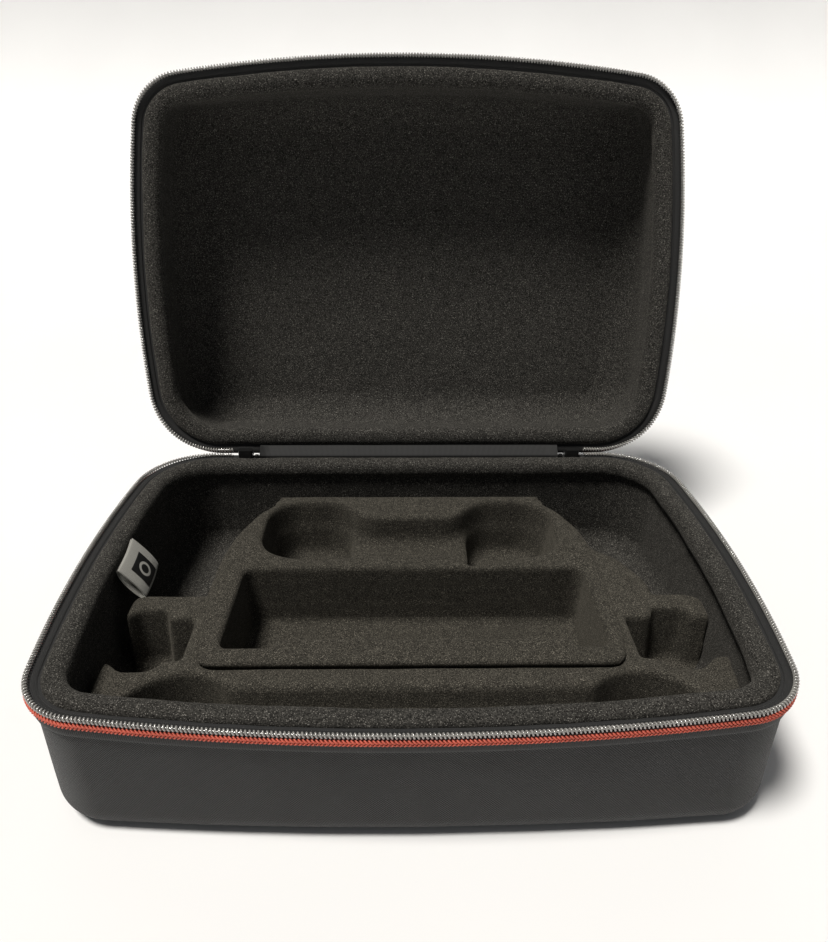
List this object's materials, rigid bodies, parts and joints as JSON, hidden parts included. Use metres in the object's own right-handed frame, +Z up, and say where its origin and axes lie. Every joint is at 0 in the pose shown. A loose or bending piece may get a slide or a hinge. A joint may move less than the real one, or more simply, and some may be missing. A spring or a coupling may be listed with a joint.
{
  "type": "zip-up moulded carry case",
  "caption": "Open clamshell hard carry case with a fitted insert, a lift-out tray, a zip round the rim and a fabric-hinged lid.",
  "frame": {"origin": "on the floor, at the middle of the base's plan", "axes": "+X to the right of a person at the open front, +Y to the hinge, +Z up"},
  "size_m": [0.3396, 0.3511, 0.2948],
  "materials": {
    "outer_cloth": "matte",
    "eva_foam": "matte",
    "soft_foam": "matte",
    "fleece": "matte",
    "binding": "matte",
    "zip_tape": "matte",
    "zip_coil": "satin",
    "red_piping": "matte",
    "velvet_foam": "matte",
    "label_satin": "satin",
    "label_ink": "matte",
    "hinge_cloth": "matte",
    "slider_metal": "satin",
    "grip_rubber": "satin",
    "webbing": "matte",
    "patch": "matte",
    "rivet_metal": "satin"
  },
  "bodies": {
    "base": {"base_cover": "outer_cloth", "base_shell": "eva_foam", "base_padding": "soft_foam", "base_lining": "fleece", "base_binding": "binding", "base_zip_tape": "zip_tape", "base_zip_coil": "zip_coil", "base_piping": "red_piping", "base_insert": "velvet_foam", "label_loop": "label_satin", "label_print": "label_ink", "hinge_outer_strip": "outer_cloth", "hinge_inner_strip": "hinge_cloth", "slider_left": "slider_metal", "slider_right": "slider_metal", "zip_stop_left": "slider_metal", "zip_stop_right": "slider_metal"},
    "tray": {"upper_tray": "velvet_foam"},
    "lid": {"lid_cover": "outer_cloth", "lid_shell": "eva_foam", "lid_padding": "soft_foam", "lid_lining": "fleece", "lid_binding": "binding", "lid_zip_tape": "zip_tape", "lid_zip_coil": "zip_coil", "handle_strap": "webbing", "handle_grip": "grip_rubber", "handle_patch_left": "patch", "handle_patch_right": "patch", "handle_rivets": "rivet_metal"},
    "pull_left": {"pull_left": "slider_metal", "pull_grip_left": "grip_rubber"},
    "pull_right": {"pull_right": "slider_metal", "pull_grip_right": "grip_rubber"}
  },
  "joints": [
    {"name": "lid_hinge", "type": "hinge", "parent": "base", "child": "lid", "pos_m": [0, 0.1181, 0.0676], "axis": [-1, 0, 0], "range_deg": [-105.4, 0], "deforming": ["hinge_outer_strip", "hinge_inner_strip"]},
    {"name": "tray_lift", "type": "slide", "parent": "base", "child": "tray", "axis": [0, 0, 1], "range_m": [0, 0.05]},
    {"name": "pull_left_swing", "type": "hinge", "parent": "base", "child": "pull_left", "pos_m": [-0.1062, 0.1204, 0.0654], "axis": [1, 0, 0], "range_deg": [0, 65]},
    {"name": "pull_right_swing", "type": "hinge", "parent": "base", "child": "pull_right", "pos_m": [0.1062, 0.1204, 0.0654], "axis": [1, 0, 0], "range_deg": [0, 65]}
  ]
}
